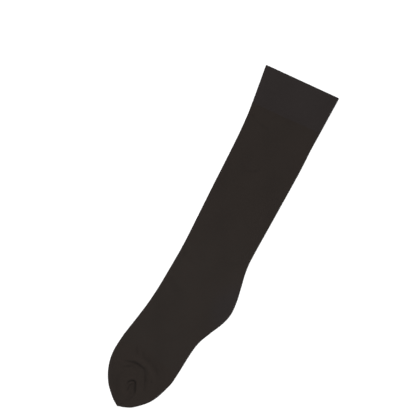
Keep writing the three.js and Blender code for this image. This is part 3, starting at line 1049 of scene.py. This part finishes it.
def stitches_along(name, route, spacing, half_length, radius, lift, material):
    """Short stitches across a route in the plan, at even spacing, with a slant. Each is laid on
    the upper panel, at an angle of +90 degrees, and on the lower one, at -90."""
    line = smooth_rows(route, np.linspace(0, len(route) - 1, LINE_SAMPLES))
    length = np.concatenate([[0], np.cumsum(np.hypot(*np.diff(line, axis=0).T))])
    slope = np.gradient(line, length, axis=0)
    at = np.arange(spacing / 2, length[-1], spacing)
    middle = np.stack([np.interp(at, length, column) for column in line.T], -1)
    step = np.stack([np.interp(at, length, column) for column in slope.T], -1)
    step /= np.linalg.norm(step, axis=1, keepdims=True)
    across = np.stack([-step[:, 1], step[:, 0]], -1) + STITCH_SLANT * step
    way = half_length * np.linspace(-1, 1, THREAD_STEPS)[:, None]
    plan = middle[:, None] + way * across[:, None]
    place, share = on_cloth(plan[..., 0], plan[..., 1])
    upper = np.full_like(share, np.pi / 2)
    paths = [stitch_paths(place, share, angle, lift) for angle in (upper, -upper)]
    return threads(name, np.concatenate(paths), radius, material)


seam_route = np.array(SEAM_FOLDS["seam edge"][2])[:-1, :2]
# The seam's yarn takes the foot's lighter colour, not the toe's: painted light that offsets the shade
# the stitches cast on the seam.
toe_yarn = thread_material("toe yarn", FOOT_COLOUR)
seam_stitches = stitches_along("seam_stitches", seam_route, *SEAM_STITCH, toe_yarn)
leg_yarn = thread_material("leg yarn", FOOT_COLOUR)
gore_marks = stitches_along("gore_marks", GORE_ROUTE, *GORE_STITCH, leg_yarn)

# %% [markdown]
# ## The floor, the light and the camera
#
# The floor lies a hair under the cloth. It is pale and glows a little, so that it looks white in a
# light that is soft enough for the dark cloth.

# %% The floor
FLOOR_SIZE = 8.0
FLOOR_DROP = 0.05 * MM
FLOOR_COLOUR = (0.95, 0.95, 0.95, 1)
FLOOR_GLOW = 0.2
WHITE = (1, 1, 1, 1)

scene = bpy.context.scene
scene.view_settings.view_transform = "Standard"

floor_mesh = bpy.data.meshes.new("floor")
half = FLOOR_SIZE / 2
signs = [(-1, -1), (1, -1), (1, 1), (-1, 1)]
corners = [(half * x, half * y, -FLOOR_DROP) for x, y in signs]
floor_mesh.from_pydata(corners, [], [(0, 1, 2, 3)])
floor = bpy.data.objects.new("floor", floor_mesh)
scene.collection.objects.link(floor)
floor_paint = bpy.data.materials.new("pale floor")
floor_paint.use_nodes = True
floor_shader = floor_paint.node_tree.nodes["Principled BSDF"]
floor_shader.inputs["Base Color"].default_value = FLOOR_COLOUR
floor_shader.inputs["Roughness"].default_value = 1.0
floor_shader.inputs["Specular IOR Level"].default_value = 0.0
floor_shader.inputs["Emission Color"].default_value = WHITE
floor_shader.inputs["Emission Strength"].default_value = FLOOR_GLOW
floor_mesh.materials.append(floor_paint)
print("the floor is", FLOOR_SIZE, "m wide and", FLOOR_DROP / MM, "mm under the cloth")

# %% [markdown]
# A pale sky gives even light, and one large soft lamp at the upper left of the view shows the
# folds. A small lamp would cut hard shadows into them. The view is turned, so that the leg runs
# from the upper right to the lower left, and the lamp is placed by the view's own directions.

# %% The light
LAMP_SIZE = 2.0
LAMP_WATTS = 18
LAMP_OFFSET = (-0.6, 0.6, 2.1)  # metres to the view's right, up the view and above the floor
VIEW_MIDDLE = (-35.0, -194.1)
VIEW_TURN = math.radians(26.5)

sky = bpy.data.worlds.new("pale sky")
sky.use_nodes = True
sky.node_tree.nodes["Background"].inputs["Color"].default_value = WHITE
sky.node_tree.nodes["Background"].inputs["Strength"].default_value = 1.0
scene.world = sky

across = Vector((math.cos(VIEW_TURN), math.sin(VIEW_TURN), 0))
up = Vector((-math.sin(VIEW_TURN), math.cos(VIEW_TURN), 0))
target = Vector((VIEW_MIDDLE[0] + SHIFT[0], VIEW_MIDDLE[1] + SHIFT[1], 0)) * MM

lamp_data = bpy.data.lights.new("soft lamp", "AREA")
lamp_data.shape = "DISK"
lamp_data.size = LAMP_SIZE
lamp_data.energy = LAMP_WATTS
lamp = bpy.data.objects.new("soft lamp", lamp_data)
scene.collection.objects.link(lamp)
lamp_right, lamp_up, lamp_height = LAMP_OFFSET
lamp.location = target + across * lamp_right + up * lamp_up + Vector((0, 0, lamp_height))
lamp.rotation_mode = "QUATERNION"
lamp.rotation_quaternion = (target - lamp.location).to_track_quat("-Z", "Y")
print("lamp", LAMP_SIZE, "m wide,", round((lamp.location - target).length, 2), "m away")

# %% [markdown]
# The camera looks straight down through a long lens, from so far away that the cloth's few
# millimetres of height don't shift its outline.

# %% The camera
VIEW_ACROSS = 520
LENS_MM = 85
SENSOR_MM = 36

camera_data = bpy.data.cameras.new("camera")
camera_data.lens = LENS_MM
camera_data.sensor_width = SENSOR_MM
camera = bpy.data.objects.new("camera", camera_data)
scene.collection.objects.link(camera)
distance = VIEW_ACROSS * MM * LENS_MM / SENSOR_MM
turn = Matrix((across, up, Vector((0, 0, 1)))).transposed()
camera.matrix_world = Matrix.Translation(target + Vector((0, 0, distance))) @ turn.to_4x4()
scene.camera = camera
print("camera", round(distance, 3), "m above the stocking")
